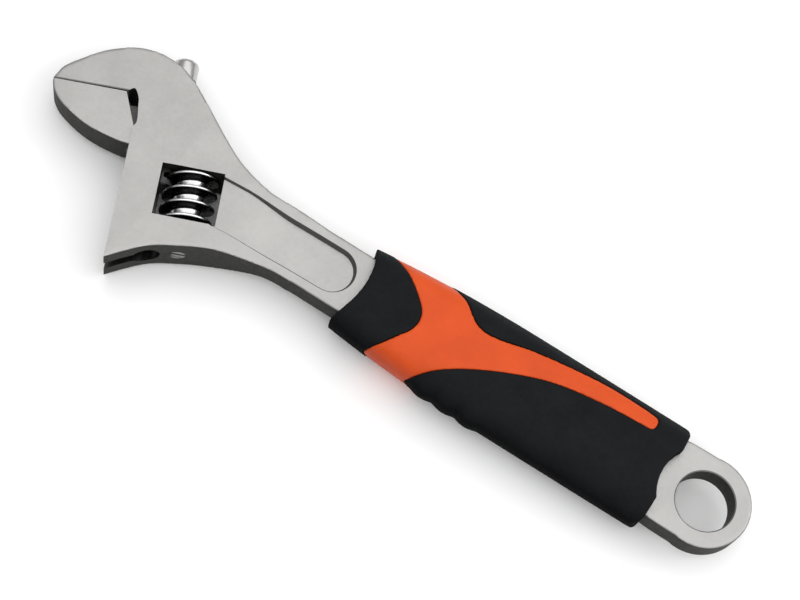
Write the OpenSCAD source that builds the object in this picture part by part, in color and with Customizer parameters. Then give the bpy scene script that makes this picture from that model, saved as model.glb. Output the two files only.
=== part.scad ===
// Adjustable wrench, 250 mm, with a two-shot grip. Jaws are closed as drawn.
// The hang hole's centre is the origin, +X runs along the handle to the head, +Y is the side
// towards which the movable jaw opens, and the middle plane of the forging is z = 0.

/* [Whole wrench] */
// Length from the end of the ring to the tip of the jaws
overall_length = 250; // [200:1:300]
// Angle between the mouth of the jaws and the handle, in degrees
head_angle = 22.5; // [15:0.5:30]
// How far the movable jaw opens
jaw_travel = 30; // [20:1:31]

/* [Ring and shank] */
// Outer diameter of the ring
ring_d = 28.8; // [26:0.1:34]
// Diameter of the hang hole
hole_d = 18.4; // [10:0.1:20]
// Thickness of the ring, the handle core and the shank
shank_t = 9; // [7:0.1:12]
// Width of the shank, and of the handle core inside the grip
shank_w = 21; // [17.5:0.1:25.2]
// Depth of the recess in each face of the shank
recess_depth = 1.8; // [0.5:0.1:2.5]
// Depth that is left of the recess where it runs out at the window
recess_end_depth = 1; // [0.2:0.1:1.5]
// Width of the recess at its round end
recess_w = 14; // [10:0.1:16]
// Flat left between the grip and the round end of the recess
recess_margin = 0.6; // [0.2:0.1:10]

/* [Head] */
// Thickness of the head
head_t = 15.6; // [14:0.1:18]
// How far the window's centre is set off the handle's middle line
head_shift = 5; // [2:0.1:8]
// Room in the window on each side of the worm
window_gap = 1.2; // [1:0.1:2.5]
// Window for the worm, along the worm's axis
window_h = 17.1; // [13:0.1:20]
// Wall between the bore of the rack stem and the slide face
slide_wall = 7.5; // [4:0.1:8.5]
// Window centre to the open end of the slide face, along it
open_end = 25.2; // [24:0.1:28]
// Window centre to the mouth, along the slide face
mouth_dist = 30.7; // [30:0.1:34]
// Worm axis to the tip of the jaws
tip_reach = 47.9; // [42:0.1:56]
// Depth of the fixed jaw behind the mouth
fixed_jaw_depth = 15.3; // [13:0.1:18]
// Thickness of the movable jaw beside the slide face
jaw_root_t = 12; // [10:0.1:14]
// Thickness of the jaws at their tip
jaw_tip_t = 10.4; // [8:0.1:12]

/* [Movable jaw] */
// Depth of the movable jaw at the slide face
jaw_depth = 17.5; // [15:0.1:21]
// Thickness of the neck between the jaw and its rack stem
neck_t = 4.4; // [3:0.1:6]
// Diameter of the rack stem
stem_d = 8; // [7:0.1:9.6]
// How far the stem reaches past the mouth when closed, through the back of the head
stem_out = 16.2; // [14:0.1:20]
// Gap between the two mouth faces when closed
mouth_gap = 0.1; // [0.05:0.05:0.5]

/* [Worm, pin and spring] */
// Outer diameter of the worm
worm_d = 16.8; // [15.6:0.1:17]
// Advance of the worm's thread in one turn
worm_lead = 4.7; // [4.2:0.1:5.7]
// Width of the thread's crest
crest_w = 1.1; // [0.8:0.1:1.3]
// Width of the thread where it meets the core
thread_base_w = 2.3; // [1.8:0.1:2.4]
// Height of the thread
thread_h = 3.6; // [2.8:0.1:3.8]
// Where the thread stands on its way past the rack when closed
worm_phase = -1.25; // [-4.2:0.05:0]
// Diameter of the pin
pin_d = 4; // [3:0.1:5]
// Diameter of the pin's threaded head
pin_head_d = 5; // [4:0.1:6]
// Wire of the spring
spring_wire = 0.6; // [0.4:0.05:0.8]
// Turns of the spring
spring_turns = 4; // [3:1:6]
// Length of the spring as fitted
spring_len = 5; // [4:0.1:6]

/* [Grip] */
// Hang hole centre to the corners of the grip's ring end
grip_start = 13.4; // [13:0.1:18]
// Hang hole centre to the corners of the grip's head end
grip_end = 123.6; // [100:0.1:130]
// Width of the grip along its long straight part
grip_w = 35.2; // [30:0.1:38]
// Width of the grip at its head end
grip_nose_w = 28.4; // [27:0.1:36]
// Thickness of the grip
grip_t = 19; // [15:0.1:22]
// Width of the flat along the middle of the grip's two faces, on which the wrench lies
grip_flat = 12; // [6:0.5:20]
// Thickness of the soft cover over the hard sleeve
cover_t = 2.4; // [1.5:0.1:2.8]
// Height of the three finger bumps
bump_h = 0.9; // [0:0.1:2]

/* [Clearances] */
// Radial clearance of what turns or slides in a bore
running = 0.08; // [0.02:0.01:0.1]
// Gap between the jaw and the slide face, and at each side of the neck
slide_gap = 0.06; // [0.03:0.01:0.1]
// Radial clearance of the fixed pin in the head
fixed_gap = 0.02; // [0:0.01:0.05]
// End play of the worm at each end of its window
end_play = 0.25; // [0.1:0.05:0.4]
// Clearance of the thread in the rack, on each flank
mesh_gap = 0.24; // [0.15:0.01:0.3]
// Clearance between the tips of the rack or the thread and what they face
tip_gap = 0.4; // [0.2:0.05:0.6]

/* [Hidden] */
$fn = 64;

steel = [0.78, 0.78, 0.76];
worm_steel = [0.62, 0.62, 0.61];
orange = [0.93, 0.36, 0.14];
black = [0.14, 0.15, 0.17];

ring_r = ring_d / 2;
big = 400;

// Worm and rack, whose spacing follows from the thread
worm_r = worm_d / 2;
core_r = worm_r - thread_h;
stem_r = stem_d / 2;
bore_r = stem_r + running;
rack_axis = core_r + tip_gap + stem_r;
slide_face = rack_axis + bore_r + slide_wall;
window_w = worm_d + 2 * window_gap;
// Window centre, from which the head is laid out, and the head's own directions
tip_offset = tip_reach * cos(head_angle) + mouth_dist * sin(head_angle);
head_x = overall_length - ring_r - tip_offset;
window = [head_x, head_shift];
across = [cos(head_angle), sin(head_angle)];
along = [-sin(head_angle), cos(head_angle)];

// Where the forging thickens along the handle, and where it starts to thin towards the tip
thicken_from = head_x - 32;
thicken_to = head_x - 13;
thin_from = head_x + 8;

// Closed position of the movable jaw's mouth, and the body of its stem
closed_mouth = -mouth_dist + mouth_gap;
stem_back = -mouth_dist - stem_out;
worm_len = window_h - 2 * end_play;
first_groove = worm_phase - worm_lead;
stem_front = first_groove + worm_lead / 2 + 0.4;
groove_count = ceil((worm_len / 2 + jaw_travel + first_groove) / worm_lead) + 1;

// Grip: where it narrows, its finger bumps, and the hollow of its head end
grip_taper_from = grip_end - 60;
bump_pitch = 8;
bumps_from = grip_end - 55;
hollow_r = 28;
hollow = 3.6;

// Thread, pin and spring
flank = (thread_base_w - crest_w) / 2 / thread_h;
lead_angle = atan(worm_lead / (2 * PI * (worm_r - thread_h / 2)));
thread_turns = (worm_len - thread_base_w - 0.2) / worm_lead;
thread_steps = 24;
spring_r = pin_d / 2 + running + spring_wire + 0.25;
spring_bore_r = spring_r + spring_wire / 2 + 0.25;
pin_tip = -window_h / 2 - 6.5;
pin_head_len = 4;

// ---------------------------------------------------------------- curves

// Point at t between b and c of a smooth curve through a, b, c and d
function between(a, b, c, d, t) =
    0.5 * (2 * b + (c - a) * t + (2 * a - 5 * b + 4 * c - d) * t * t
           + (3 * b - a - 3 * c + d) * t * t * t);
// Smooth curve through all the points of p
function curve(p, steps = 6) = let (last = len(p) - 1) [
    for (i = [0:last - 1], s = [0:steps - 1])
        between(p[max(i - 1, 0)], p[i], p[i + 1], p[min(i + 2, last)], s / steps),
    p[last]];
function ease(t) = t * t * (3 - 2 * t);
function backwards(p) = [for (i = [len(p) - 1:-1:0]) p[i]];
// A point given in the head's own directions
function in_row(p) = window + p[0] * across + p[1] * along;
function head_points(list) = [for (p = list) in_row(p)];
// Triangles round a tube of rings with k points each, closed at both ends
function tube_faces(rings, k) = [
    for (i = [0:rings - 2], j = [0:k - 1]) let (a = i * k + j, b = i * k + (j + 1) % k)
        each [[a, b, b + k], [a, b + k, a + k]],
    [for (j = [k - 1:-1:0]) j],
    [for (j = [0:k - 1]) (rings - 1) * k + j]];

// Places its children in the head's own directions, x across the worm and y along it
module in_head() translate([window[0], window[1], 0]) rotate([0, 0, head_angle]) children();
// A solid that stands along the head's y axis from y = a to y = b
module rod(r, a, b) translate([0, a, 0]) rotate([-90, 0, 0]) cylinder(r = r, h = b - a);
// Extrudes an outline drawn in x and z along the whole of y
module along_y(length = big) rotate([90, 0, 0]) linear_extrude(length, center = true) children();

// ---------------------------------------------------------------- forged body

// Opening side of the head, from the shank to the open end of the slide face
function opening_edge() = concat(
    [[head_x - 50, shank_w / 2], [head_x - 40, shank_w / 2], [head_x - 30, shank_w / 2 + 0.9]],
    head_points([
        [-10, open_end - 8.9], [2, open_end - 7.6], [8.5, open_end - 6.2],
        [slide_face - 6.5, open_end - 3.6], [slide_face, open_end]]));
// Back of the head and of the fixed jaw, from the shank to the tip
function back_edge() = let (top = -mouth_dist - fixed_jaw_depth) concat(
    [[head_x - 50, -shank_w / 2], [head_x - 40, -shank_w / 2], [head_x - 30, -shank_w / 2 - 0.4]],
    head_points([
        [-23.4, -6.6], [-14.9, -12.5], [-7.5, -20.8], [4.8, top + 9], [12.5, top + 2.6],
        [slide_face + 1, top], [slide_face + 10, top + 1.6],
        [tip_reach - 10, top + fixed_jaw_depth * 0.34],
        [tip_reach - 3, top + fixed_jaw_depth * 0.67],
        [tip_reach - 0.8, -mouth_dist - 1.6], [tip_reach, -mouth_dist - mouth_gap / 2]]));
// Throat of the fixed jaw, with the shallow hollow that clears the corner of the nut
throat = [[slide_face, -mouth_dist + 11.8], [slide_face - 0.8, -mouth_dist + 10],
          [slide_face - 0.3, -mouth_dist + 5.4], [slide_face + 0.3, -mouth_dist + 1.8],
          [slide_face + 1.9, -mouth_dist - 0.9], [slide_face + 3.6, -mouth_dist - mouth_gap / 2]];

module head_outline() polygon(concat(
    curve(opening_edge()),
    head_points(curve(throat, 4)),
    backwards(curve(back_edge()))));

module handle_outline() {
    side = curve([[0, ring_r - 0.3], [12, ring_r - 0.5], [26, shank_w / 2 + 1.3],
                  [42, shank_w / 2], [head_x - 45, shank_w / 2]]);
    polygon(concat(side, backwards([for (p = side) [p[0], -p[1]]])));
}

// Side view of the forging, lowered on each face by drop on the shank and head_drop on the head
module side_view(drop = 0, head_drop = 0) {
    low = shank_t / 2 - drop;
    high = head_t / 2 - head_drop;
    tip = jaw_tip_t / 2 - head_drop;
    rise = [for (i = [0:8]) [thicken_from + (thicken_to - thicken_from) * i / 8,
                             low + (high - low) * ease(i / 8)]];
    top = concat([[-ring_d, low]], rise, [[thin_from, high], [head_x + tip_offset, tip],
                                          [head_x + tip_offset + 5, tip]]);
    polygon(concat(top, backwards([for (p = top) [p[0], -p[1]]])));
}

// Recess in the face of the shank, from its round end up to the window
module recess_outline() {
    end_x = grip_end + recess_margin + recess_w / 2;
    translate([end_x, 0]) circle(d = recess_w);
    // It ends inside the window, a little in from its corners
    low = in_row([2 - window_w / 2, 0.7 - window_h / 2]);
    high = in_row([2 - window_w / 2, window_h / 2 - 0.3]);
    polygon(concat(
        curve([[end_x, -recess_w / 2], [head_x - 30, -recess_w / 2 + 0.3], low]),
        backwards(curve([[end_x, recess_w / 2], [head_x - 30, recess_w / 2 + 0.6], high]))));
}

module forging() union() {
    cylinder(r = ring_r, h = shank_t, center = true);
    intersection() {
        linear_extrude(head_t + 4, center = true) union() {
            handle_outline();
            head_outline();
        }
        along_y() side_view();
    }
}

module wrench_body() color(steel) difference() {
    forging();
    cylinder(d = hole_d, h = shank_t + 2, center = true);
    difference() {
        linear_extrude(head_t + 4, center = true) recess_outline();
        along_y() side_view(recess_depth, recess_end_depth);
    }
    in_head() {
        cube([window_w, window_h, head_t + 4], center = true);
        translate([rack_axis, 0, 0]) rod(bore_r, stem_back - 4, open_end + 4);
        neck_slot = neck_t + 2 * slide_gap;
        translate([rack_axis, -mouth_dist, -neck_slot / 2])
            cube([slide_face, mouth_dist + open_end + 4, neck_slot]);
        rod(pin_d / 2 + fixed_gap, pin_tip, open_end);
        rod(pin_head_d / 2 + fixed_gap, pin_head_y() - pin_head_len, open_end);
    }
}

// ---------------------------------------------------------------- movable jaw

function jaw_edge() = [
    [slide_face + slide_gap, closed_mouth + jaw_depth],
    [slide_face + 5, closed_mouth + jaw_depth * 0.95],
    [slide_face + 14, closed_mouth + jaw_depth * 0.78],
    [slide_face + 22, closed_mouth + jaw_depth * 0.49],
    [tip_reach - 1.6, closed_mouth + jaw_depth * 0.27],
    [tip_reach - 0.3, closed_mouth + 1.7],
    [tip_reach - 0.2, closed_mouth]];
// Corner of the jaw beside the throat, cut back in a bevel
bevel_top = [slide_face + slide_gap, closed_mouth + 11];
bevel_bottom = [slide_face + 4.4, closed_mouth];

module jaw_plate() intersection() {
    linear_extrude(head_t, center = true)
        polygon(concat(curve(jaw_edge()), [bevel_bottom], [bevel_top]));
    root = jaw_root_t / 2;
    tip = jaw_tip_t / 2;
    along_y() polygon([[slide_face, root], [tip_reach, tip], [tip_reach, -tip], [slide_face, -root]]);
}

// Round stem, chamfered at both ends, with slanted grooves for the thread of the worm
module rack_stem() difference() {
    chamfer = 1.2;
    translate([rack_axis, 0, 0]) rotate([-90, 0, 0]) rotate_extrude() polygon([
        [0, stem_back], [stem_r - chamfer, stem_back], [stem_r, stem_back + chamfer],
        [stem_r, stem_front - 0.4], [stem_r - 0.4, stem_front], [0, stem_front]]);
    for (i = [0:groove_count - 1]) translate([0, first_groove - i * worm_lead, 0]) groove();
}

// One groove: the thread's own section and its clearance, slanted by the lead angle
module groove() {
    floor_m = worm_r + tip_gap;
    mouth_m = rack_axis - stem_r - 1;
    function half(m) = crest_w / 2 + flank * (worm_r - m) + mesh_gap + 0.06;
    rotate([lead_angle, 0, 0]) linear_extrude(2 * stem_d, center = true) polygon([
        [mouth_m, half(mouth_m)], [floor_m, half(floor_m)],
        [floor_m, -half(floor_m)], [mouth_m, -half(mouth_m)]]);
}

module movable_jaw() color(steel) in_head() union() {
    jaw_plate();
    rack_stem();
    neck_low = closed_mouth + 3;
    neck_high = closed_mouth + jaw_depth - 1.5;
    translate([rack_axis, neck_low, -neck_t / 2])
        cube([slide_face + 6 - rack_axis, neck_high - neck_low, neck_t]);
}

// ---------------------------------------------------------------- worm, pin and spring

// Right-hand thread round the head's y axis, deep enough in the core to join it
module thread() {
    inner = core_r - 0.6;
    base = crest_w / 2 + flank * (worm_r - inner);
    section = [[inner, -base], [worm_r, -crest_w / 2], [worm_r, crest_w / 2], [inner, base]];
    steps = ceil(thread_turns * thread_steps);
    // On the rack's side, at 90 degrees, the thread passes y = worm_phase
    start = worm_phase - worm_lead / 4;
    first = -thread_turns * worm_lead / 2;
    points = [for (i = [0:steps]) let (y = first + thread_turns * worm_lead * i / steps,
                                       turn = 360 * (y - start) / worm_lead)
        for (p = section) [p[0] * sin(turn), y + p[1], p[0] * cos(turn)]];
    polyhedron(points, tube_faces(steps + 1, 4), convexity = 6);
}

module adjusting_worm() color(worm_steel) in_head() difference() {
    union() {
        rod(core_r, -worm_len / 2, worm_len / 2);
        thread();
    }
    rod(pin_d / 2 + running, -worm_len, worm_len);
    rod(spring_bore_r, window_h / 2 - spring_len - 0.1, worm_len);
}

// The pin's slotted head lies just under the surface of the head
function pin_head_y() = open_end - 8.2;

module worm_pin() color(worm_steel) in_head() difference() {
    union() {
        rod(pin_d / 2, pin_tip, pin_head_y() - pin_head_len + 1);
        rod(pin_head_d / 2, pin_head_y() - pin_head_len, pin_head_y());
    }
    slot_w = 0.9;
    translate([-pin_head_d, pin_head_y() - 1.3, -slot_w / 2]) cube([2 * pin_head_d, 3, slot_w]);
}

module worm_spring() color(worm_steel) in_head() {
    steps = spring_turns * 16;
    low = window_h / 2 - spring_len + spring_wire / 2;
    high = window_h / 2 - spring_wire / 2;
    points = [for (i = [0:steps]) let (turn = 360 * spring_turns * i / steps,
                                       y = low + (high - low) * i / steps)
        for (j = [0:7]) let (r = spring_r + spring_wire / 2 * cos(45 * j))
            [r * sin(turn), y + spring_wire / 2 * sin(45 * j), r * cos(turn)]];
    polyhedron(points, tube_faces(steps + 1, 8), convexity = 8);
}

// ---------------------------------------------------------------- grip

// Half of the grip's width at x, which narrows towards the head
function half_width(x) = let (s = max(0, (x - grip_taper_from) / (grip_end - grip_taper_from)))
    (grip_w - (grip_w - grip_nose_w) * pow(s, 2.3)) / 2;
// Height of the finger bumps at x
function bump(x) = let (s = (x - bumps_from) / bump_pitch)
    s < 0 || s > 3 ? 0 : bump_h * sin(180 * (s - floor(s)));
// One long edge of the grip, drawn in by inset, with the finger bumps raised by bumps
function grip_edge(inset, bumps) = let (
    corner = 3, first = grip_start + inset, last = grip_end - inset,
    flat_from = first + corner, flat_to = last - 1.5, steps = 72) concat(
    [for (a = [180:-15:105]) [flat_from + corner * cos(a),
                              half_width(flat_from) - inset - corner + corner * sin(a)]],
    [for (i = [0:steps]) let (x = flat_from + (flat_to - flat_from) * i / steps)
        [x, half_width(x) - inset + bumps * bump(x)]],
    [[last, half_width(last) - inset - 1.5]]);

// Outline of the grip, drawn in by inset all round
module grip_outline(inset = 0) difference() {
    polygon(concat(
        grip_edge(inset, inset == 0 ? 1 : 0),
        backwards([for (p = grip_edge(inset, 0)) [p[0], -p[1]]])));
    // Both ends are hollowed in plan: round the ring, and towards the shank
    circle(r = ring_r + 1.4 + inset);
    translate([grip_end - inset - hollow + hollow_r, 0]) circle(r = hollow_r);
}

// Section of the grip across the handle, flat in the middle of both faces and rounded beside that
module grip_section(inset = 0) {
    power = 2 / 2.2;
    flat = grip_flat / 2;
    half_w = grip_w / 2 + bump_h + 0.3 - inset;
    half_t = grip_t / 2 - inset;
    corner = [for (a = [0:7.5:90])
        [flat + (half_w - flat) * pow(cos(a), power), half_t * pow(sin(a), power)]];
    upper = concat(corner, backwards([for (p = corner) [-p[0], p[1]]]));
    polygon(concat(upper, [for (i = [len(upper) - 2:-1:1]) [upper[i][0], -upper[i][1]]]));
}

module grip_form(inset = 0) intersection() {
    linear_extrude(grip_t, center = true) grip_outline(inset);
    rotate([90, 0, 90]) linear_extrude(grip_end + 10) grip_section(inset);
}

// The orange figure in plan: a band across the grip with a long tail towards the ring
tail_upper = [[24, -8.7], [40, -7.5], [57, -4.5], [72, 1.5], [85, 9], [91.5, 15], [96, 24]];
tail_lower = [[24, -13.8], [40, -14], [52, -12.6], [66, -10.2], [78.5, -7.2], [85.5, -8],
              [92, -13.5], [100, -18], [108, -24]];
band_head = [[114, 24], [109, 18.5], [107, 14], [104, 9.5], [101, 5], [100.3, 1], [101.5, -2.5],
             [105, -6], [110, -10], [114, -12.5], [122, -18], [130, -24]];

module orange_figure() polygon(concat(
    curve(tail_upper), curve(band_head), backwards(curve(tail_lower))));
// What lies on the head's side and on the ring's side of it
module head_side() polygon(concat(curve(band_head), [[grip_end + 20, -24], [grip_end + 20, 24]]));
module ring_side() polygon(concat(
    [[-20, 24]], backwards(curve(tail_upper)), curve(tail_lower), [[-20, -24]]));

// The soft layer over the sleeve, where its plan outline, the child, keeps it
module soft_layer() difference() {
    intersection() {
        grip_form();
        linear_extrude(grip_t + 2, center = true) children();
    }
    grip_form(cover_t);
    forging();
}

module grip_core() color(orange) difference() {
    union() {
        grip_form(cover_t);
        intersection() {
            grip_form();
            linear_extrude(grip_t + 2, center = true) orange_figure();
        }
    }
    forging();
}

module grip_cover() color(black) soft_layer() ring_side();

module grip_collar() color(black) soft_layer() head_side();

wrench_body();
movable_jaw();
adjusting_worm();
worm_pin();
worm_spring();
grip_core();
grip_cover();
grip_collar();
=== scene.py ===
"""Looks of an adjustable wrench with a two-shot grip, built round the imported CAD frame.

Meshes are made in millimetres, in the frame of the CAD, and scaled to metres when a piece is done.
Pieces of the head are drawn in the head's own directions: m across the worm, u along it, z up.
"""

import math

import bmesh
import bpy
import numpy as np
from mathutils import Matrix, Vector


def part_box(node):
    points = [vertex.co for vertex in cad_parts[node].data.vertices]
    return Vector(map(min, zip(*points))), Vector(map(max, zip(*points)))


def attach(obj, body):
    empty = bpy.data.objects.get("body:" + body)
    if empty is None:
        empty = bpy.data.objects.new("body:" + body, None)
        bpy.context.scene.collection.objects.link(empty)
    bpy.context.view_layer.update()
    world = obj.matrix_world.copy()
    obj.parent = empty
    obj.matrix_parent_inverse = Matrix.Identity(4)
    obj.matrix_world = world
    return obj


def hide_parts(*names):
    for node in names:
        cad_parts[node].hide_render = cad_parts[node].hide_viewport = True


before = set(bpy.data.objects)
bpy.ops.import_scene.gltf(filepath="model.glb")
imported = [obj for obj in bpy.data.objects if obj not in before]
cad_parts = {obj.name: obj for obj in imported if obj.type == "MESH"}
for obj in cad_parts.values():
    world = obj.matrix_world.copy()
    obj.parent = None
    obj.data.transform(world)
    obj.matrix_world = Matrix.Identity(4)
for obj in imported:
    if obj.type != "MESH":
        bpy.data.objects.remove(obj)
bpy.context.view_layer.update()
MM = 0.001


def box_mm(node):
    """Lowest and highest corner of a CAD node, in millimetres."""
    low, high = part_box(node)
    return low / MM, high / MM


# ---------------------------------------------------------------- sizes, in millimetres

BODY_LOW, BODY_HIGH = box_mm("wrench_body")
RING_R = -BODY_LOW.x
HEAD_T = 2 * BODY_HIGH.z
GRIP_T = 2 * box_mm("grip_cover")[1].z
OVERALL_LENGTH = 250.0

# Hang hole, shank and recess
HOLE_R = 9.2
HOLE_LIP = 0.35
SHANK_T = 9.0
SHANK_W = 21.0
RECESS_DEPTH = 1.8
RECESS_END_DEPTH = 1.0
RECESS_W = 14.0

# Head and fixed jaw, from the middle of the window
HEAD_ANGLE = math.radians(22.5)
WINDOW_W = 19.2
WINDOW_H = 17.1
RACK_AXIS = 9.2
STEM_R = 4.0
BORE_R = 4.08
SLIDE_FACE = RACK_AXIS + BORE_R + 7.5
OPEN_END = 25.2
MOUTH = -30.7
TIP_REACH = 47.9
FIXED_JAW_DEPTH = 15.3
JAW_ROOT_T = 12.0
JAW_TIP_T = 10.4
TIP_OFFSET = TIP_REACH * math.cos(HEAD_ANGLE) - MOUTH * math.sin(HEAD_ANGLE)
HEAD_X = OVERALL_LENGTH - RING_R - TIP_OFFSET
HEAD_Y = 5.0

# Movable jaw
JAW_TRAVEL = 30.0
JAW_DEPTH = 17.5
NECK_T = 4.4
STEM_OUT = 16.2
GAP = 0.06
CLOSED_MOUTH = MOUTH + 0.1

# Worm, pin and spring
WORM_R = 8.4
WORM_CORE_R = 4.8
WORM_LEAD = 4.7
WORM_LEN = WINDOW_H - 0.5
WORM_PHASE = -1.25
CREST_W = 1.1
THREAD_BASE_W = 2.3
MESH_GAP = 0.3
MOUTH_BREAK = 0.28
PIN_R = 2.0
PIN_HEAD_R = 2.5
PIN_FIT = 0.02
SPRING_R = 2.93
SPRING_WIRE_R = 0.3
SPRING_LEN = 5.0

# Grip
GRIP_START = 13.4
GRIP_END = 123.6
GRIP_HALF = 17.6
GRIP_NOSE_HALF = 14.2
GRIP_FLAT_HALF = 6.0
GRIP_TAPER_LEN = 60
PALM_X = 62
PALM_DROP = 0.75
COVER_T = 2.4
ORANGE_SINK = 0.2
BUMP_H = 0.9
BUMP_PITCH = 8.0
BUMP_COUNT = 3
BUMPS_FROM = GRIP_END - 55
# How far the figure's edges sweep towards the head for each millimetre down the sides
SIDE_SWEEP = 0.3

# Remeshed pieces: voxel in millimetres, rounds of smoothing and the share of faces that is kept
FORGED_MESH = (0.42, 7, 0.3)
JAW_MESH = (0.3, 8, 0.35)
COVER_MESH = (0.42, 4, 0.45)
COLLAR_MESH = (0.42, 4, 0.5)
SLEEVE_MESH = (0.42, 3, 0.4)
# Angles above which an edge is left sharp, in degrees
STEEL_EDGE, WORM_EDGE, ROUND_EDGE = 38, 50, 60
# How near to a machined face a place still counts as on it, and how squarely it has to look
ON_FACE = 0.05
SQUARE = 0.9

HEAD = Matrix.Translation((HEAD_X, HEAD_Y, 0)) @ Matrix.Rotation(HEAD_ANGLE, 4, "Z")
UP = Vector((0, 0, 1))


# ---------------------------------------------------------------- curves and meshes

def between(a, b, c, d, t):
    """Point at t between b and c of a smooth curve through a, b, c and d."""
    a, b, c, d = (np.array(p, float) for p in (a, b, c, d))
    return 0.5 * (2 * b + (c - a) * t + (2 * a - 5 * b + 4 * c - d) * t**2
                  + (3 * b - a - 3 * c + d) * t**3)


def curve(points, steps=10):
    """Smooth curve through all the points."""
    last = len(points) - 1
    made = []
    for i in range(last):
        ends = (points[max(i - 1, 0)], points[i], points[i + 1], points[min(i + 2, last)])
        made += [tuple(between(*ends, s / steps)) for s in range(steps)]
    return made + [tuple(points[last])]


def ease(t):
    return t * t * (3 - 2 * t)


def in_row(points):
    """Points given in the head's own directions, as points of the whole wrench."""
    return [tuple((HEAD @ Vector((p[0], p[1], 0))).xy) for p in points]


def rework(mesh, *changes):
    """Makes changes to a mesh and turns its faces outwards."""
    work = bmesh.new()
    work.from_mesh(mesh)
    for change in changes:
        change(work)
    bmesh.ops.recalc_face_normals(work, faces=work.faces)
    work.to_mesh(mesh)
    work.free()


def new_object(name, verts, faces):
    """An object of its own, with its faces turned outwards."""
    mesh = bpy.data.meshes.new(name)
    mesh.from_pydata([tuple(v) for v in verts], [], faces)
    rework(mesh)
    obj = bpy.data.objects.new(name, mesh)
    bpy.context.scene.collection.objects.link(obj)
    return obj


def tube(name, rings):
    """Skin over rings of points, closed by flat caps."""
    count = len(rings[0])
    verts = [p for ring in rings for p in ring]
    faces = []
    for i in range(len(rings) - 1):
        for j in range(count):
            a, b = i * count + j, i * count + (j + 1) % count
            faces.append((a, b, b + count, a + count))
    faces.append(tuple(reversed(range(count))))
    faces.append(tuple(range((len(rings) - 1) * count, len(rings) * count)))
    return new_object(name, verts, faces)


def prism(name, outline, low, high):
    """Upright solid over an outline in x and y."""
    return tube(name, [[(*p, z) for p in outline] for z in (low, high)])


def side_prism(name, outline, reach=120):
    """Solid over an outline in x and z that runs far along y on both sides."""
    return tube(name, [[(p[0], y, p[1]) for p in outline] for y in (-reach, reach)])


def lathe(name, profile, axis_m=0.0, segments=96):
    """Solid turned round the head's u direction, from (radius, u) points that start and end on
    the axis."""
    verts, faces = [], []
    count = len(profile)
    for s in range(segments):
        angle = 2 * math.pi * s / segments
        verts += [(axis_m + r * math.sin(angle), u, r * math.cos(angle)) for r, u in profile]
    for s in range(segments):
        here, there = s * count, (s + 1) % segments * count
        faces += [(here + k, here + k + 1, there + k + 1, there + k) for k in range(count - 1)]
    obj = new_object(name, verts, faces)
    weld(obj)
    return obj


def weld(obj, distance=1e-4):
    """Joins the points that lie in one place."""
    rework(obj.data, lambda work: bmesh.ops.remove_doubles(work, verts=work.verts, dist=distance))


def apply(obj, kind, **settings):
    """Adds one modifier and makes its result the object's own mesh."""
    modifier = obj.modifiers.new(kind.title(), kind)
    for key, value in settings.items():
        setattr(modifier, key, value)
    graph = bpy.context.evaluated_depsgraph_get()
    made = bpy.data.meshes.new_from_object(obj.evaluated_get(graph))
    old = obj.data
    obj.modifiers.clear()
    obj.data = made
    bpy.data.meshes.remove(old)
    return obj


def combine(obj, other, operation="DIFFERENCE"):
    """Boolean of two closed objects; the second is used up."""
    apply(obj, "BOOLEAN", operation=operation, object=other, solver="MANIFOLD")
    mesh = other.data
    bpy.data.objects.remove(other)
    bpy.data.meshes.remove(mesh)
    return obj


def copy_of(obj, name):
    made = bpy.data.objects.new(name, obj.data.copy())
    bpy.context.scene.collection.objects.link(made)
    return made


def moved(obj, matrix):
    obj.data.transform(matrix)
    return obj


def soften(obj, voxel, rounds, share):
    """Even mesh with its edges rounded off, thinned out where the surface is flat."""
    apply(obj, "REMESH", mode="VOXEL", voxel_size=voxel)
    apply(obj, "SMOOTH", factor=0.5, iterations=rounds)
    return apply(obj, "DECIMATE", decimate_type="COLLAPSE", ratio=share)


def shade(obj, sharp=STEEL_EDGE):
    """Smooth shading that stops at real edges."""
    obj.data.shade_smooth()
    obj.data.set_sharp_from_angle(angle=math.radians(sharp))


def finish_piece(obj, body, look, cad_node):
    """Takes a finished mesh to metres, gives it its body, hides the CAD node that it takes the
    place of and, unless it is painted already, gives it its material."""
    moved(obj, Matrix.Scale(MM, 4))
    if look:
        obj.data.materials.clear()
        obj.data.materials.append(look)
    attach(obj, body)
    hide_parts(cad_node)


# ---------------------------------------------------------------- forged body

def opening_edge():
    """Opening side of the head, from the shank to just past the slide face."""
    return [(HEAD_X - 50, SHANK_W / 2), (HEAD_X - 40, SHANK_W / 2),
            (HEAD_X - 30, SHANK_W / 2 + 0.9)] + in_row([
                (-10, OPEN_END - 8.9), (2, OPEN_END - 7.6), (8.5, OPEN_END - 6.2),
                (SLIDE_FACE - 6.5, OPEN_END - 3.6), (SLIDE_FACE, OPEN_END),
                (SLIDE_FACE + 3, OPEN_END + 1.8)])


def back_edge():
    """Back of the head and of the fixed jaw, from the shank to the tip."""
    top = MOUTH - FIXED_JAW_DEPTH
    return [(HEAD_X - 50, -SHANK_W / 2), (HEAD_X - 40, -SHANK_W / 2),
            (HEAD_X - 30, -SHANK_W / 2 - 0.4)] + in_row([
                (-23.4, -6.6), (-14.9, -12.5), (-7.5, -20.8), (4.8, top + 9), (12.5, top + 2.6),
                (SLIDE_FACE + 1, top), (SLIDE_FACE + 10, top + 1.6),
                (TIP_REACH - 10, top + FIXED_JAW_DEPTH * 0.34),
                (TIP_REACH - 3, top + FIXED_JAW_DEPTH * 0.67),
                (TIP_REACH - 0.8, MOUTH - 1.6), (TIP_REACH, MOUTH)])


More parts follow.
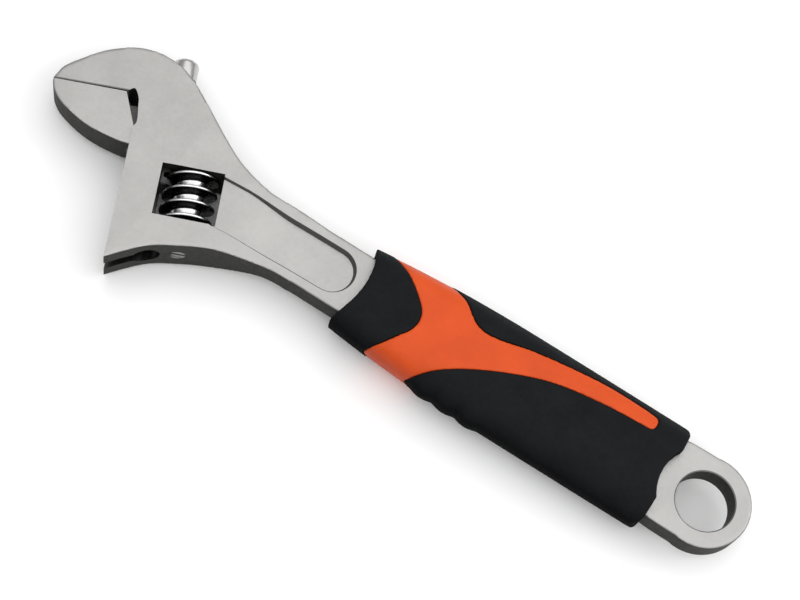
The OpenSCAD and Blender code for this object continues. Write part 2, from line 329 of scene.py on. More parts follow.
# Throat of the fixed jaw, with the shallow hollow that clears the corner of a nut
THROAT = [(SLIDE_FACE, MOUTH + 11.8), (SLIDE_FACE - 0.8, MOUTH + 10),
          (SLIDE_FACE - 0.3, MOUTH + 5.4), (SLIDE_FACE + 0.3, MOUTH + 1.8),
          (SLIDE_FACE + 1.9, MOUTH - 0.9), (SLIDE_FACE + 3.6, MOUTH)]


def on_ramp(x):
    """0 on the shank and 1 on the head, where the forging thickens in between."""
    return ease(min(max((x - HEAD_X + 32) / 19, 0), 1))


def face_height(x):
    """Half thickness of the forging at x, on its flat faces."""
    thinned = max(x - HEAD_X - 8, 0) / (TIP_OFFSET - 8)
    return (SHANK_T + (HEAD_T - SHANK_T) * on_ramp(x) + (JAW_TIP_T - HEAD_T) * thinned) / 2


def recess_depth(x):
    """The recess runs out towards the window."""
    return RECESS_DEPTH + (RECESS_END_DEPTH - RECESS_DEPTH) * on_ramp(x)


def side_outline(floor=False):
    """Side view of the forging, or of its core under the floor of the recess."""
    xs = [-RING_R - 5, *np.arange(HEAD_X - 34, HEAD_X + 10, 1.0), HEAD_X + TIP_OFFSET + 6]
    top = [(x, face_height(x) - (recess_depth(x) if floor else 0)) for x in xs]
    return top + [(x, -z) for x, z in reversed(top)]


def handle_outline():
    side = curve([(0, RING_R - 0.3), (12, RING_R - 0.5), (26, SHANK_W / 2 + 1.3),
                  (42, SHANK_W / 2), (HEAD_X - 45, SHANK_W / 2)])
    return side + [(x, -y) for x, y in reversed(side)]


def ring_outline(radius, segments=160):
    return [(radius * math.cos(2 * math.pi * s / segments),
             radius * math.sin(2 * math.pi * s / segments)) for s in range(segments)]


def forging_blank():
    """The forging before machining: it still fills the mouth and stands past the slide face."""
    head = curve(opening_edge()) + in_row([(SLIDE_FACE + 3, MOUTH + 3), (TIP_REACH, MOUTH + 3)])
    blank = prism("wrench_forging", head + curve(back_edge())[::-1], -HEAD_T, HEAD_T)
    combine(blank, prism("handle", handle_outline(), -HEAD_T, HEAD_T), "UNION")
    combine(blank, prism("ring", ring_outline(RING_R), -HEAD_T, HEAD_T), "UNION")
    return combine(blank, side_prism("side", side_outline()), "INTERSECT")


def recess_outline():
    """Recess in the face of the shank, from its round end up into the window."""
    end_x = GRIP_END + 0.6 + RECESS_W / 2
    side = RECESS_W / 2
    inside = 2 - WINDOW_W / 2
    low, high = in_row([(inside, 0.7 - WINDOW_H / 2), (inside, WINDOW_H / 2 - 0.3)])
    lower = curve([(end_x, -side), (HEAD_X - 30, -side + 0.3), low])
    upper = curve([(end_x, side), (HEAD_X - 30, side + 0.6), high])
    turns = [math.radians(a) for a in range(100, 261, 8)]
    nose = [(end_x + side * math.cos(a), side * math.sin(a)) for a in turns]
    return lower + upper[::-1] + nose


def outline_normals(outline):
    """Outward direction at each point of a closed outline that runs anticlockwise."""
    points = np.array(outline)
    run = np.roll(points, -1, axis=0) - np.roll(points, 1, axis=0)
    normals = np.stack([run[:, 1], -run[:, 0]], axis=1)
    return normals / np.linalg.norm(normals, axis=1)[:, None]


def recess_cutter():
    """What is pressed out of one face: walls with a draft, and a floor that follows the face."""
    outline = np.array(recess_outline())
    normals = outline_normals(outline)
    rings = []
    draft = ((-1.5, 1.25), (0, 0.5), (0.25, 0.34), (1.5, -0.22), (1.8, -0.4), (6.0, -1.2))
    for depth, grow in draft:
        grown = outline + normals * grow
        rings.append([(x, y, face_height(x) - depth) for x, y in grown])
    cutter = tube("recess", rings)
    return combine(cutter, side_prism("floor", side_outline(True)))


def chamfered_hole(radius, half, lip):
    """Cutter for a hole along z whose rims are broken by a small chamfer."""
    levels = [(-half - 3, radius + lip), (-half, radius + lip), (-half + lip, radius),
              (half - lip, radius), (half, radius + lip), (half + 3, radius + lip)]
    return tube("hole", [[(*p, z) for p in ring_outline(r, 128)] for z, r in levels])


def block(name, low, high):
    """Box between two corners."""
    outline = [(low[0], low[1]), (high[0], low[1]), (high[0], high[1]), (low[0], high[1])]
    return prism(name, outline, low[2], high[2])


def rod(name, radius, low, high, axis_m=0.0):
    return lathe(name, [(0, low), (radius, low), (radius, high), (0, high)], axis_m)


def edge_break(name, start, end, size):
    """Thin square bar laid corner-down along an edge, which cuts a small chamfer into it."""
    ring = [(0, size), (size, 0), (0, -size), (-size, 0)]
    return tube(name, [[(m, u + a, z + b) for a, b in ring] for m, u, z in (start, end)])


def mouth_height(m):
    """Half thickness of the fixed jaw at its mouth edge."""
    return face_height(HEAD_X + m * math.cos(HEAD_ANGLE) - MOUTH * math.sin(HEAD_ANGLE))


def head_cutters():
    """Everything that is machined out of the head, in the head's own directions."""
    far = 60
    mouth = [(SLIDE_FACE, far), *curve(THROAT, 8), (TIP_REACH + 9, MOUTH), (TIP_REACH + 9, far)]
    slot = NECK_T / 2 + GAP
    half_w, half_h = WINDOW_W / 2, WINDOW_H / 2
    near, tip = SLIDE_FACE + 3.6, TIP_REACH + 6
    breaks = [edge_break("mouth_break", (near, MOUTH, side * mouth_height(near)),
                         (tip, MOUTH, side * mouth_height(tip)), MOUTH_BREAK) for side in (1, -1)]
    return breaks + [
        prism("mouth", mouth, -HEAD_T, HEAD_T),
        block("window", (-half_w, -half_h, -HEAD_T), (half_w, half_h, HEAD_T)),
        rod("rack_bore", BORE_R, MOUTH - STEM_OUT - 6, OPEN_END + 6, RACK_AXIS),
        block("neck_slot", (RACK_AXIS, MOUTH, -slot), (SLIDE_FACE + 5, OPEN_END + 6, slot)),
        rod("pin_hole", PIN_R + PIN_FIT, -half_h - 6.5, 0),
        rod("pin_bore", PIN_R + PIN_FIT, 0, 14),
        rod("pin_head_bore", PIN_HEAD_R + PIN_FIT, 13, OPEN_END),
    ]


# The steels' places in the list that paint() is given; the third is painted shade, a near-black
# steel for the insides of the head
FORGED, BRIGHT, INSIDE_SHADE = range(3)


def finish_or_shade_of_jaw(place, normal):
    """Bright on the bare end of the stem and on the mouth, painted shade (near black) on the rack
    and the neck.
    """
    m, u, z = place
    if m < RACK_AXIS + STEM_R + 0.02:
        return BRIGHT if u < MOUTH else INSIDE_SHADE
    if abs(z) < NECK_T / 2 + ON_FACE and m < SLIDE_FACE + 1:
        return INSIDE_SHADE
    return BRIGHT if normal[1] < -SQUARE and u < CLOSED_MOUTH + 0.1 else FORGED


def finish_or_shade_of_body(place, normal):
    """Bright on the mouth and the slide face, painted shade (near black) in the rack bore and in
    its slot.
    """
    m, u, z = place
    if m > -WINDOW_W / 2 and math.hypot(m - RACK_AXIS, z) < BORE_R + 0.04:
        return INSIDE_SHADE
    in_slot = abs(z) < NECK_T / 2 + GAP + 0.02 and u > MOUTH - 0.02
    if in_slot and RACK_AXIS < m < SLIDE_FACE - ON_FACE:
        return INSIDE_SHADE
    slide = normal[0] > SQUARE and abs(m - SLIDE_FACE) < ON_FACE
    mouth = normal[1] > SQUARE and abs(u - MOUTH) < ON_FACE
    return BRIGHT if slide or mouth else FORGED


def paint(obj, finishes_and_shade, chosen, matrix):
    """Gives each face one of the materials in the list, chosen from its place and direction in the
    head; one of them is painted shade.
    """
    obj.data.materials.clear()
    for made in finishes_and_shade:
        obj.data.materials.append(made)
    turn = matrix.to_3x3()
    for face in obj.data.polygons:
        face.material_index = chosen(matrix @ face.center, turn @ face.normal)


def make_body(finishes_and_shade):
    """Ring, handle core, shank, head and fixed jaw."""
    body = soften(forging_blank(), *FORGED_MESH)
    combine(body, chamfered_hole(HOLE_R, SHANK_T / 2, HOLE_LIP))
    upper = recess_cutter()
    lower = moved(copy_of(upper, "recess_below"), Matrix.Scale(-1, 4, UP))
    lower.data.flip_normals()
    combine(body, upper)
    combine(body, lower)
    for cutter in head_cutters():
        combine(body, moved(cutter, HEAD))
    paint(body, finishes_and_shade, finish_or_shade_of_body, HEAD.inverted())
    shade(body)
    body.name = "forged_body"
    finish_piece(body, "wrench", None, "wrench_body")


# ---------------------------------------------------------------- movable jaw

def jaw_blank():
    """Plate of the movable jaw, left long at the mouth and at the slide face."""
    edge = curve([
        (SLIDE_FACE - 2, CLOSED_MOUTH + JAW_DEPTH + 0.2),
        (SLIDE_FACE + GAP, CLOSED_MOUTH + JAW_DEPTH),
        (SLIDE_FACE + 5, CLOSED_MOUTH + JAW_DEPTH * 0.95),
        (SLIDE_FACE + 14, CLOSED_MOUTH + JAW_DEPTH * 0.78),
        (SLIDE_FACE + 22, CLOSED_MOUTH + JAW_DEPTH * 0.49),
        (TIP_REACH - 1.6, CLOSED_MOUTH + JAW_DEPTH * 0.27),
        (TIP_REACH - 0.3, CLOSED_MOUTH + 1.7), (TIP_REACH - 0.2, CLOSED_MOUTH)])
    outline = edge + [(TIP_REACH - 0.2, CLOSED_MOUTH - 3), (SLIDE_FACE - 2, CLOSED_MOUTH - 3)]
    blank = prism("jaw_plate", outline, -HEAD_T, HEAD_T)
    wedge = [(m, jaw_height(m)) for m in (SLIDE_FACE - 4, TIP_REACH + 4)]
    wedge += [(m, -z) for m, z in reversed(wedge)]
    return combine(blank, side_prism("wedge", wedge), "INTERSECT")


def rack_stem():
    """Round stem with the rack's grooves, slanted like the worm's thread."""
    back = MOUTH - STEM_OUT
    front = WORM_PHASE - WORM_LEAD / 2 + 0.4
    # The edge at the mouth is where the stem turns from bright steel to painted shade
    stem = lathe("rack_stem", [
        (0, back), (STEM_R - 1.5, back), (STEM_R - 1.0, back + 0.12), (STEM_R - 0.25, back + 0.75),
        (STEM_R, back + 1.5), (STEM_R, MOUTH - 1), (STEM_R - 0.03, MOUTH),
        (STEM_R - 0.03, front - 0.4), (STEM_R - 0.4, front), (0, front)], RACK_AXIS)
    lead_angle = math.atan(WORM_LEAD / (math.pi * (WORM_R + WORM_CORE_R)))
    flank = (THREAD_BASE_W - CREST_W) / 2 / (WORM_R - WORM_CORE_R)
    floor_m, mouth_m = WORM_R + 0.4, RACK_AXIS - STEM_R - 1
    half = [CREST_W / 2 + flank * (WORM_R - m) + MESH_GAP for m in (floor_m, mouth_m)]
    section = [(mouth_m, half[1]), (mouth_m, -half[1]), (floor_m, -half[0]), (floor_m, half[0])]
    # As many as the worm meets over the whole travel of the jaw
    count = math.ceil((WORM_LEN / 2 + JAW_TRAVEL + WORM_PHASE - WORM_LEAD) / WORM_LEAD) + 1
    for i in range(count):
        groove = prism("groove", section, -3 * STEM_R, 3 * STEM_R)
        moved(groove, Matrix.Rotation(lead_angle, 4, "X"))
        combine(stem, moved(groove, Matrix.Translation((0, WORM_PHASE - (i + 1) * WORM_LEAD, 0))))
    return stem


def jaw_height(m):
    """Half thickness of the movable jaw's plate."""
    part = (m - SLIDE_FACE) / (TIP_REACH - SLIDE_FACE)
    return (JAW_ROOT_T + (JAW_TIP_T - JAW_ROOT_T) * part) / 2


def make_jaw(finishes_and_shade):
    """Movable jaw: softened plate with machined faces, its neck and its rack stem."""
    jaw = soften(jaw_blank(), *JAW_MESH)
    far = 90
    combine(jaw, block("slide_cut", (-far, -far, -far), (SLIDE_FACE + GAP, far, far)))
    combine(jaw, block("mouth_cut", (-far, -far, -far), (far, CLOSED_MOUTH, far)))
    near, tip = SLIDE_FACE - 2, TIP_REACH + 2
    for side in (1, -1):
        combine(jaw, edge_break("jaw_break", (near, CLOSED_MOUTH, side * jaw_height(near)),
                                (tip, CLOSED_MOUTH, side * jaw_height(tip)), MOUTH_BREAK))
    bevel = [(SLIDE_FACE - 1, CLOSED_MOUTH + 13.5), (SLIDE_FACE - 1, CLOSED_MOUTH - 2),
             (SLIDE_FACE + 5.2, CLOSED_MOUTH - 2), (SLIDE_FACE + 4.4, CLOSED_MOUTH),
             (SLIDE_FACE + GAP, CLOSED_MOUTH + 11)]
    combine(jaw, prism("bevel", bevel, -far, far))
    neck = block("neck", (RACK_AXIS, CLOSED_MOUTH + 3, -NECK_T / 2),
                 (SLIDE_FACE + 6, CLOSED_MOUTH + JAW_DEPTH - 1.5, NECK_T / 2))
    combine(jaw, neck, "UNION")
    combine(jaw, rack_stem(), "UNION")
    paint(jaw, finishes_and_shade, finish_or_shade_of_jaw, Matrix.Identity(4))
    moved(jaw, HEAD)
    shade(jaw)
    jaw.name = "sliding_jaw"
    finish_piece(jaw, "jaw", None, "movable_jaw")


# ---------------------------------------------------------------- worm, pin and spring

def thread_profile():
    """Half of the thread's section, from root to crest, as (offset along the axis, radius)."""
    base, crest = THREAD_BASE_W / 2, CREST_W / 2 - 0.1
    return [(WORM_LEAD / 2, WORM_CORE_R), (base + 0.65, WORM_CORE_R),
            (base + 0.3, WORM_CORE_R + 0.06), (base + 0.06, WORM_CORE_R + 0.28),
            (base - 0.08, WORM_CORE_R + 0.7), (crest + 0.14, WORM_R - 0.62),
            (crest + 0.02, WORM_R - 0.24), (crest - 0.14, WORM_R - 0.06), (crest - 0.34, WORM_R)]


def worm_thread(segments=72):
    """The core and its thread as one skin, wound round the axis and longer than the worm."""
    half = thread_profile()
    section = half + [(-offset, radius) for offset, radius in reversed(half)]
    start = WORM_PHASE - WORM_LEAD / 4
    turns = math.ceil(WORM_LEN / WORM_LEAD) + 2
    verts, faces = [], []
    count = len(section)
    steps = turns * segments
    for s in range(steps + 1):
        angle = 2 * math.pi * s / segments
        u = start + WORM_LEAD * (s / segments - turns // 2)
        verts += [(r * math.sin(angle), u - offset, r * math.cos(angle)) for offset, r in section]
    for s in range(steps):
        here, there = s * count, (s + 1) * count
        faces += [(here + k, here + k + 1, there + k + 1, there + k) for k in range(count - 1)]
    worm = new_object("worm", verts, faces)
    weld(worm, 1e-3)
    close_holes(worm)
    return worm


def close_holes(obj):
    """Caps the open ends of a skin."""
    def fill(work):
        bmesh.ops.holes_fill(work, edges=[e for e in work.edges if e.is_boundary], sides=0)
        bmesh.ops.triangulate(work, faces=[f for f in work.faces if len(f.verts) > 4])

    rework(obj.data, fill)


def make_worm(steel):
    """Thumb worm, cut to length with its ends broken, and bored for the pin and the spring."""
    worm = worm_thread()
    half, lip, outer = WORM_LEN / 2, 0.5, WORM_R + 0.02
    turned = lathe("worm_blank", [(0, -half), (WORM_R - lip, -half), (outer, -half + lip),
                                  (outer, half - lip), (WORM_R - lip, half), (0, half)])
    combine(worm, turned, "INTERSECT")
    combine(worm, rod("worm_bore", PIN_R + 0.08, -half - 2, half + 2))
    combine(worm, rod("spring_bore", SPRING_R + 0.55, WINDOW_H / 2 - SPRING_LEN - 0.1, half + 2))
    moved(worm, HEAD)
    shade(worm, WORM_EDGE)
    worm.name = "knurl_worm"
    finish_piece(worm, "worm", steel, "adjusting_worm")


def make_spring(steel):
    """Compression spring, held between the worm and the edge of the window."""
    turns, steps, sides = 4, 40, 14
    low = WINDOW_H / 2 - SPRING_LEN + SPRING_WIRE_R
    high = WINDOW_H / 2 - SPRING_WIRE_R
    rings = []
    for s in range(turns * steps + 1):
        part = s / (turns * steps)
        angle = 2 * math.pi * turns * part
        u = low + (high - low) * part
        ring = []
        for j in range(sides):
            around = 2 * math.pi * j / sides
            r = SPRING_R + SPRING_WIRE_R * math.cos(around)
            rise = SPRING_WIRE_R * math.sin(around)
            ring.append((r * math.sin(angle), u + rise, r * math.cos(angle)))
        rings.append(ring)
    spring = moved(tube("coil_spring", rings), HEAD)
    shade(spring, ROUND_EDGE)
    finish_piece(spring, "wrench", steel, "worm_spring")


# ---------------------------------------------------------------- grip

def half_width(x):
    """Half of the grip's width at x, which narrows towards the head."""
    part = max(0, (x - (GRIP_END - GRIP_TAPER_LEN)) / GRIP_TAPER_LEN)
    return GRIP_HALF - (GRIP_HALF - GRIP_NOSE_HALF) * part**2.3


def half_thickness(x):
    """Half of the grip's thickness at x, fullest in the palm."""
    end = GRIP_END if x > PALM_X else GRIP_START
    part = (x - PALM_X) / (end - PALM_X)
    return GRIP_T / 2 - PALM_DROP * part**2


def bump(x):
    """How far the finger bumps stand out of the side at x."""
    part = (x - BUMPS_FROM) / BUMP_PITCH
    if part < 0 or part > BUMP_COUNT:
        return 0.0
    return BUMP_H * math.sin(math.pi * (part - math.floor(part)))


def grip_form(inset=0.0, bumps=1.0, around=112):
    """The grip's whole outer form, drawn in by inset, flat in the middle of both faces."""
    power = 2 / 2.2
    rings = []
    for x in np.arange(GRIP_START + inset, GRIP_END + 2, 0.5):
        ring = []
        for j in range(around):
            a = 2 * math.pi * (j + 0.5) / around
            flat, rise = math.cos(a), math.sin(a)
            side = GRIP_FLAT_HALF + abs(flat)**power * (half_width(x) - inset - GRIP_FLAT_HALF)
            y = math.copysign(side, flat)
            z = math.copysign(abs(rise)**power, rise) * (half_thickness(x) - inset)
            y += bumps * bump(x) * max(flat, 0)**1.5
            ring.append((x, y, z))
        rings.append(ring)
    form = tube("form", rings)
    hollow_r = 28
    combine(form, chopped(ring_outline(RING_R + 1.4 + inset, 128), GRIP_T))
    nose = [(GRIP_END - inset - 3.6 + hollow_r + x, y) for x, y in ring_outline(hollow_r, 256)]
    combine(form, chopped(nose, GRIP_T))
    return combine(form, chopped(plan_outline(inset), GRIP_T), "INTERSECT")


def plan_outline(inset):
    """Plan of the grip with its corners rounded, wide enough to leave the long edges alone."""
    made = []
    for x, radius, turns in ((GRIP_START + inset, 3.4, range(180, 89, -9)),
                             (GRIP_END - inset, 1.2, range(90, -1, -15))):
        inner = x + math.copysign(radius, GRIP_END - 2 * x)
        side = half_width(inner) - inset + 0.02
        for turn in turns:
            a = math.radians(turn)
            made.append((inner + radius * math.cos(a), side - radius + radius * math.sin(a)))
        if x < GRIP_END / 2:
            made += [(inner, side + 0.1), (inner + 2, side + 4), (GRIP_END - 8, side + 4)]
    return made + [(x, -y) for x, y in reversed(made)]


def chopped(outline, reach):
    return prism("chop", outline, -reach, reach)


# Boundaries of the orange figure in plan: a band across the grip with a long tail to the ring
TAIL_TIP = [(26.5, -8.55), (24.4, -9.0), (23.6, -11.2), (24.2, -13.3), (26.5, -13.85)]
TAIL_UPPER = [(26.5, -8.55), (40, -7.5), (57, -4.5), (72, 1.5), (85, 9), (91.5, 15), (96, 24)]
TAIL_LOWER = [(26.5, -13.85), (40, -14), (52, -12.6), (66, -10.2), (78.5, -7.2), (85.5, -8),
              (92, -13.5), (100, -18), (108, -24)]
BAND_HEAD = [(114, 24), (109, 18.5), (107, 14), (104, 9.5), (101, 5), (100.3, 1), (101.5, -2.5),
             (105, -6), (110, -10), (114, -12.5), (122, -18), (130, -24)]


def figure_outline():
    """The whole orange figure."""
    round_end = curve(TAIL_TIP)[-2:0:-1]
    return curve(TAIL_UPPER) + curve(BAND_HEAD) + curve(TAIL_LOWER)[::-1] + round_end


def head_side():
    """Everything on the head side of the figure."""
    return curve(BAND_HEAD) + [(GRIP_END + 20, -24), (GRIP_END + 20, 24)]


def ring_side():
    """Everything on the ring side of the figure, round its tail."""
    tail = curve(TAIL_UPPER)[::-1] + curve(TAIL_TIP)[1:-1] + curve(TAIL_LOWER)
    return [(-20, 24)] + tail + [(-20, -24)]


def slanted(name, outline):
    """Upright solid whose outline sweeps forward down the sides of the grip, as the figure does."""
    rings = []
    for z in np.linspace(-GRIP_T, GRIP_T, 33):
        sweep = min(max(GRIP_T / 2 - 1.5 - abs(z), 0), 8) * SIDE_SWEEP
        rings.append([(x + sweep * on_side(y), y, z) for x, y in outline])
    return tube(name, rings)


def on_side(y):
    """0 in the middle of the grip's faces and 1 at their long edges."""
    return ease(min(max((abs(y) - 9) / 6, 0), 1))


def handle_hollow():
    """What the handle core fills inside the grip."""
    half = SHANK_T / 2 + 0.02
    hollow = prism("hollow", handle_outline(), -half, half)
    return combine(hollow, prism("hollow_ring", ring_outline(RING_R), -half, half), "UNION")


def soft_layer(outline):
    """The rubber over the sleeve, within an outline."""
    layer = combine(grip_form(), slanted("keep", outline), "INTERSECT")
    return combine(layer, grip_form(COVER_T, 0))


def finish_moulding(obj, name, fineness, look, cad_node):
    """Hollows a piece of the grip out for the handle core and rolls its rims over."""
    combine(obj, handle_hollow())
    soften(obj, *fineness)
    shade(obj, ROUND_EDGE)
    obj.name = name
    finish_piece(obj, "wrench", look, cad_node)


def make_grip(rubber, plastic):
    """Two rubber layers over a hard sleeve, which shows between them as the orange figure."""
    finish_moulding(soft_layer(ring_side()), "rubber_cover", COVER_MESH,
                    rubber, "grip_cover")
    finish_moulding(soft_layer(head_side()), "rubber_collar", COLLAR_MESH,
                    rubber, "grip_collar")
    core = combine(grip_form(ORANGE_SINK, 0), slanted("figure", figure_outline()), "INTERSECT")
    combine(core, grip_form(COVER_T, 0), "UNION")
    finish_moulding(core, "hard_sleeve", SLEEVE_MESH, plastic, "grip_core")


# ---------------------------------------------------------------- materials

def material(name, color, roughness, metallic=0.0):
    """A new material, its nodes and links, and its main shader."""
    made = bpy.data.materials.new(name)
    made.use_nodes = True
    tree = made.node_tree
    shader = tree.nodes["Principled BSDF"]
    shader.inputs["Base Color"].default_value = (*color, 1)
    shader.inputs["Roughness"].default_value = roughness
    shader.inputs["Metallic"].default_value = metallic
    return made, tree, shader


def node(tree, kind, inputs=(), **settings):
    """A new node with its input values and settings."""
    made = tree.nodes.new(kind)
    for key, value in settings.items():
        setattr(made, key, value)
    for key, value in dict(inputs).items():
        made.inputs[key].default_value = value
    return made


def noise(tree, scale, detail=3.0, stretch=(1, 1, 1)):
    """Noise in the object's own space, with scale in grains per metre."""
    place = node(tree, "ShaderNodeTexCoord")
    shift = node(tree, "ShaderNodeMapping", {"Scale": stretch})
    made = node(tree, "ShaderNodeTexNoise", {"Scale": scale, "Detail": detail, "Roughness": 0.6})
    tree.links.new(place.outputs["Object"], shift.inputs["Vector"])
    tree.links.new(shift.outputs["Vector"], made.inputs["Vector"])
    return made.outputs["Fac"]


def ramp(tree, factor, low, high, color_low, color_high):
    """Turns a factor between low and high into a colour, or a grey."""
    made = node(tree, "ShaderNodeValToRGB")
    ends = made.color_ramp.elements
    ends[0].position, ends[1].position = low, high
    ends[0].color = (*color_low, 1)
    ends[1].color = (*color_high, 1)
    tree.links.new(factor, made.inputs["Fac"])
    return made.outputs["Color"]


def cloudy(tree, scale, detail, dark, light, low=0.3, high=0.7):
    """Noise between two colours, or between two greys."""
    return ramp(tree, noise(tree, scale, detail), low, high, dark, light)


def mixed(tree, factor, a, b):
    """a where the factor is 0 and b where it is 1."""
    made = node(tree, "ShaderNodeMix", data_type="RGBA", blend_type="MIX")
    for socket, source in (("Factor", factor), ("A", a), ("B", b)):
        tree.links.new(source, made.inputs[socket])
    return made.outputs["Result"]


def bump_from(tree, shader, height, distance):
    """Fine relief from a height, with its depth in metres."""
    made = node(tree, "ShaderNodeBump", {"Distance": distance, "Strength": 1.0})
    tree.links.new(height, made.inputs["Height"])
    tree.links.new(made.outputs["Normal"], shader.inputs["Normal"])


def grey(value):
    return (value, value, value)


def steepness(tree):
    """0 on the flat faces and 1 on the walls, from the surface's own direction."""
    place = node(tree, "ShaderNodeTexCoord")
    parts = node(tree, "ShaderNodeSeparateXYZ")
    tree.links.new(place.outputs["Normal"], parts.inputs["Vector"])
    size = node(tree, "ShaderNodeMath", operation="ABSOLUTE")
    tree.links.new(parts.outputs["Z"], size.inputs[0])
    return ramp(tree, size.outputs["Value"], 0.3, 0.8, grey(1.0), grey(0.0))


def forged_steel():
    """Satin plated steel: ground faces, and upright walls painted near black as shade."""
    made, tree, shader = material("satin_forged_steel", (0.6, 0.6, 0.58), 0.4, 1.0)
    face = cloudy(tree, 60, 4, (0.346, 0.340, 0.331), (0.395, 0.388, 0.378))
    # Painted shade: wherever the surface stands upright it is given a near-black colour
    painted_shade_wall = cloudy(tree, 400, 5, (0.045, 0.045, 0.042), (0.058, 0.057, 0.053))
    tree.links.new(mixed(tree, steepness(tree), face, painted_shade_wall), shader.inputs["Base Color"])
    polish = cloudy(tree, 900, 4, grey(0.34), grey(0.48), 0.25, 0.75)
    scale = cloudy(tree, 900, 4, grey(0.62), grey(0.78), 0.25, 0.75)
    tree.links.new(mixed(tree, steepness(tree), polish, scale), shader.inputs["Roughness"])
    bump_from(tree, shader, noise(tree, 2600, 3), 0.00003)
    return made


def bright_steel():
    """Ground and turned faces: brighter, smoother, with faint marks of the wheel."""
    made, tree, shader = material("ground_steel", (0.5, 0.5, 0.49), 0.28, 1.0)
    marks = noise(tree, 300, 4, (1, 1, 9))
    tone = ramp(tree, marks, 0.3, 0.7, (0.44, 0.435, 0.425), (0.56, 0.555, 0.545))
    tree.links.new(tone, shader.inputs["Base Color"])
    tree.links.new(ramp(tree, marks, 0.3, 0.7, grey(0.24), grey(0.34)), shader.inputs["Roughness"])
    return made


def flank_share(tree):
    """0 on the worm's crests and roots, and 1 on the flanks of its thread."""
    place = node(tree, "ShaderNodeTexCoord")
    along = node(tree, "ShaderNodeVectorMath", operation="DOT_PRODUCT")
    along.inputs[1].default_value = HEAD.to_3x3() @ Vector((0, 1, 0))
    tree.links.new(place.outputs["Normal"], along.inputs[0])
    size = node(tree, "ShaderNodeMath", operation="ABSOLUTE")
    tree.links.new(along.outputs["Value"], size.inputs[0])
    return ramp(tree, size.outputs["Value"], 0.35, 0.75, grey(0.0), grey(1.0))


def worm_steel():
    """Bright turned crests and roots, with the thread's flanks painted near black as shade."""
    made, tree, shader = material("turned_worm_steel", (0.62, 0.62, 0.61), 0.3, 1.0)
    bright = cloudy(tree, 500, 4, grey(0.62), grey(0.78))
    # Painted shade: the flanks of the thread are given a near-black colour
    flank_shade = cloudy(tree, 900, 4, grey(0.02), grey(0.06))
    tree.links.new(mixed(tree, flank_share(tree), bright, flank_shade), shader.inputs["Base Color"])
    polish = cloudy(tree, 1500, 3, grey(0.24), grey(0.32))
    tree.links.new(polish, shader.inputs["Roughness"])
    bump_from(tree, shader, noise(tree, 2500, 2), 0.000008)
    return made


def dark_steel(name, tone):
    """Dark steel: blackened on the pin and the spring, and near-black painted shade on the rack,
    the neck, the bore and its slot.
    """
    made, tree, shader = material(name, grey(tone), 0.35, 1.0)
    color = cloudy(tree, 800, 4, grey(tone * 0.75), grey(tone * 1.25))
    tree.links.new(color, shader.inputs["Base Color"])
    polish = cloudy(tree, 1800, 3, grey(0.28), grey(0.42))
    tree.links.new(polish, shader.inputs["Roughness"])
    return made


def black_rubber():
    """Soft black rubber with a fine moulded grain, its upright sides painted darker as shade."""
    made, tree, shader = material("soft_black_rubber", (0.017, 0.02, 0.024), 0.6)
    face = cloudy(tree, 120, 4, (0.0040, 0.0049, 0.0058), (0.0064, 0.0076, 0.0090))
    # Painted shade: the upright sides are given a darker colour than the faces
    painted_shade_wall = cloudy(tree, 120, 4, (0.0004, 0.0006, 0.0010), (0.0012, 0.0015, 0.0021))
    tree.links.new(mixed(tree, steepness(tree), face, painted_shade_wall), shader.inputs["Base Color"])
    shader.inputs["Specular IOR Level"].default_value = 0.1
    top = cloudy(tree, 700, 3, grey(0.55), grey(0.68))
    side = cloudy(tree, 700, 3, grey(0.9), grey(1.0))
    tree.links.new(mixed(tree, steepness(tree), top, side), shader.inputs["Roughness"])
    bump_from(tree, shader, noise(tree, 1800, 3), 0.00006)
    return made


def orange_plastic():
    """Hard moulded orange plastic, a little clouded, with a faint orange-peel surface and upright
    sides painted darker as shade.
    """
    made, tree, shader = material("moulded_orange_plastic", (0.80, 0.13, 0.03), 0.42)
    face = cloudy(tree, 90, 4, (0.565, 0.066, 0.0097), (0.655, 0.079, 0.0122))
    # Painted shade: the upright sides are given a darker orange than the faces
    painted_shade_wall = cloudy(tree, 90, 4, (0.40, 0.043, 0.0065), (0.47, 0.052, 0.0080))
    tree.links.new(mixed(tree, steepness(tree), face, painted_shade_wall), shader.inputs["Base Color"])
    shader.inputs["Specular IOR Level"].default_value = 0.18
    shader.inputs["Subsurface Weight"].default_value = 0.08
    shader.inputs["Subsurface Radius"].default_value = (0.002, 0.0006, 0.0003)
    polish = cloudy(tree, 600, 3, grey(0.38), grey(0.5))
    tree.links.new(polish, shader.inputs["Roughness"])
    bump_from(tree, shader, noise(tree, 1200, 2), 0.00004)
    return made


# ---------------------------------------------------------------- stage, light and camera

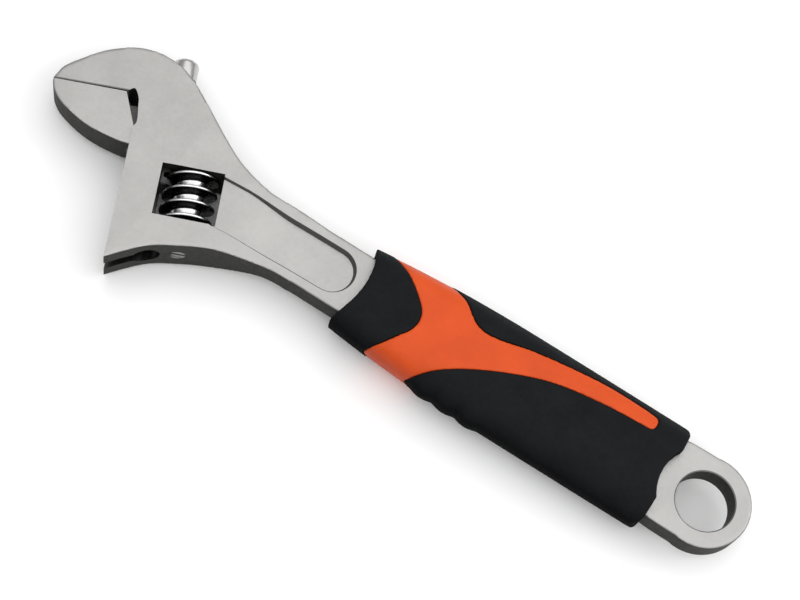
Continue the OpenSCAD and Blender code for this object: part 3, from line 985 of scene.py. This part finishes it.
def make_floor():
    """Large pale sheet that the wrench lies on."""
    made, tree, shader = material("pale_floor", (0.9, 0.9, 0.9), 0.9)
    tone = cloudy(tree, 4, 2, grey(0.92), grey(0.95))
    tree.links.new(tone, shader.inputs["Base Color"])
    side, under_grip, thickness = 3000, 0.2, 3.0
    top = -GRIP_T / 2 - under_grip
    floor = block("floor", (-side, -side, top - thickness), (side, side, top))
    moved(floor, Matrix.Scale(MM, 4))
    floor.data.materials.append(made)


def area_light(name, place, aim, size, power):
    """Rectangular lamp at a place, turned towards the point it aims at, in metres and watts."""
    lamp = bpy.data.lights.new(name, "AREA")
    lamp.shape = "RECTANGLE"
    lamp.size, lamp.size_y = size
    lamp.energy = power
    obj = bpy.data.objects.new(name, lamp)
    obj.location = place
    obj.rotation_euler = (Vector(aim) - Vector(place)).to_track_quat("-Z", "Y").to_euler()
    bpy.context.scene.collection.objects.link(obj)


def make_lights():
    """A dim white room with one very large soft box overhead and a small one at the side."""
    world = bpy.data.worlds.new("soft_studio")
    world.use_nodes = True
    sky = world.node_tree.nodes["Background"]
    sky.inputs["Color"].default_value = (1.0, 1.0, 1.0, 1)
    sky.inputs["Strength"].default_value = 0.43
    bpy.context.scene.world = world
    aim = (0.11, 0, 0)
    area_light("top_box", (-0.5, -0.25, 1.2), (-0.5, -0.25, 0), (3.2, 3.2), 39)
    area_light("side_box", (-0.7, -0.5, 0.6), aim, (0.4, 0.4), 1.2)


def make_camera():
    """Camera high over the wrench, on the side that the jaw opens towards."""
    cam = bpy.data.cameras.new("camera")
    cam.sensor_width = 36
    cam.lens = 90
    cam.clip_start, cam.clip_end = 0.01, 20
    obj = bpy.data.objects.new("camera", cam)
    obj.location = (0.06418, 0.21597, 0.5645)
    obj.rotation_euler = [math.radians(a) for a in (20.426, -7.675, -148.73)]
    bpy.context.scene.collection.objects.link(obj)
    bpy.context.scene.camera = obj


make_camera()
make_lights()
make_floor()
# The third steel is painted shade for the insides of the head
steels = [forged_steel(), bright_steel(), dark_steel("inside_shade_steel", 0.06)]
make_body(steels)
make_jaw(steels)
make_worm(worm_steel())
make_spring(dark_steel("spring_steel", 0.3))
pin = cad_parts["worm_pin"].data
pin.materials.clear()
pin.materials.append(dark_steel("pin_steel", 0.25))
make_grip(black_rubber(), orange_plastic())
bpy.context.scene.view_settings.view_transform = "Standard"
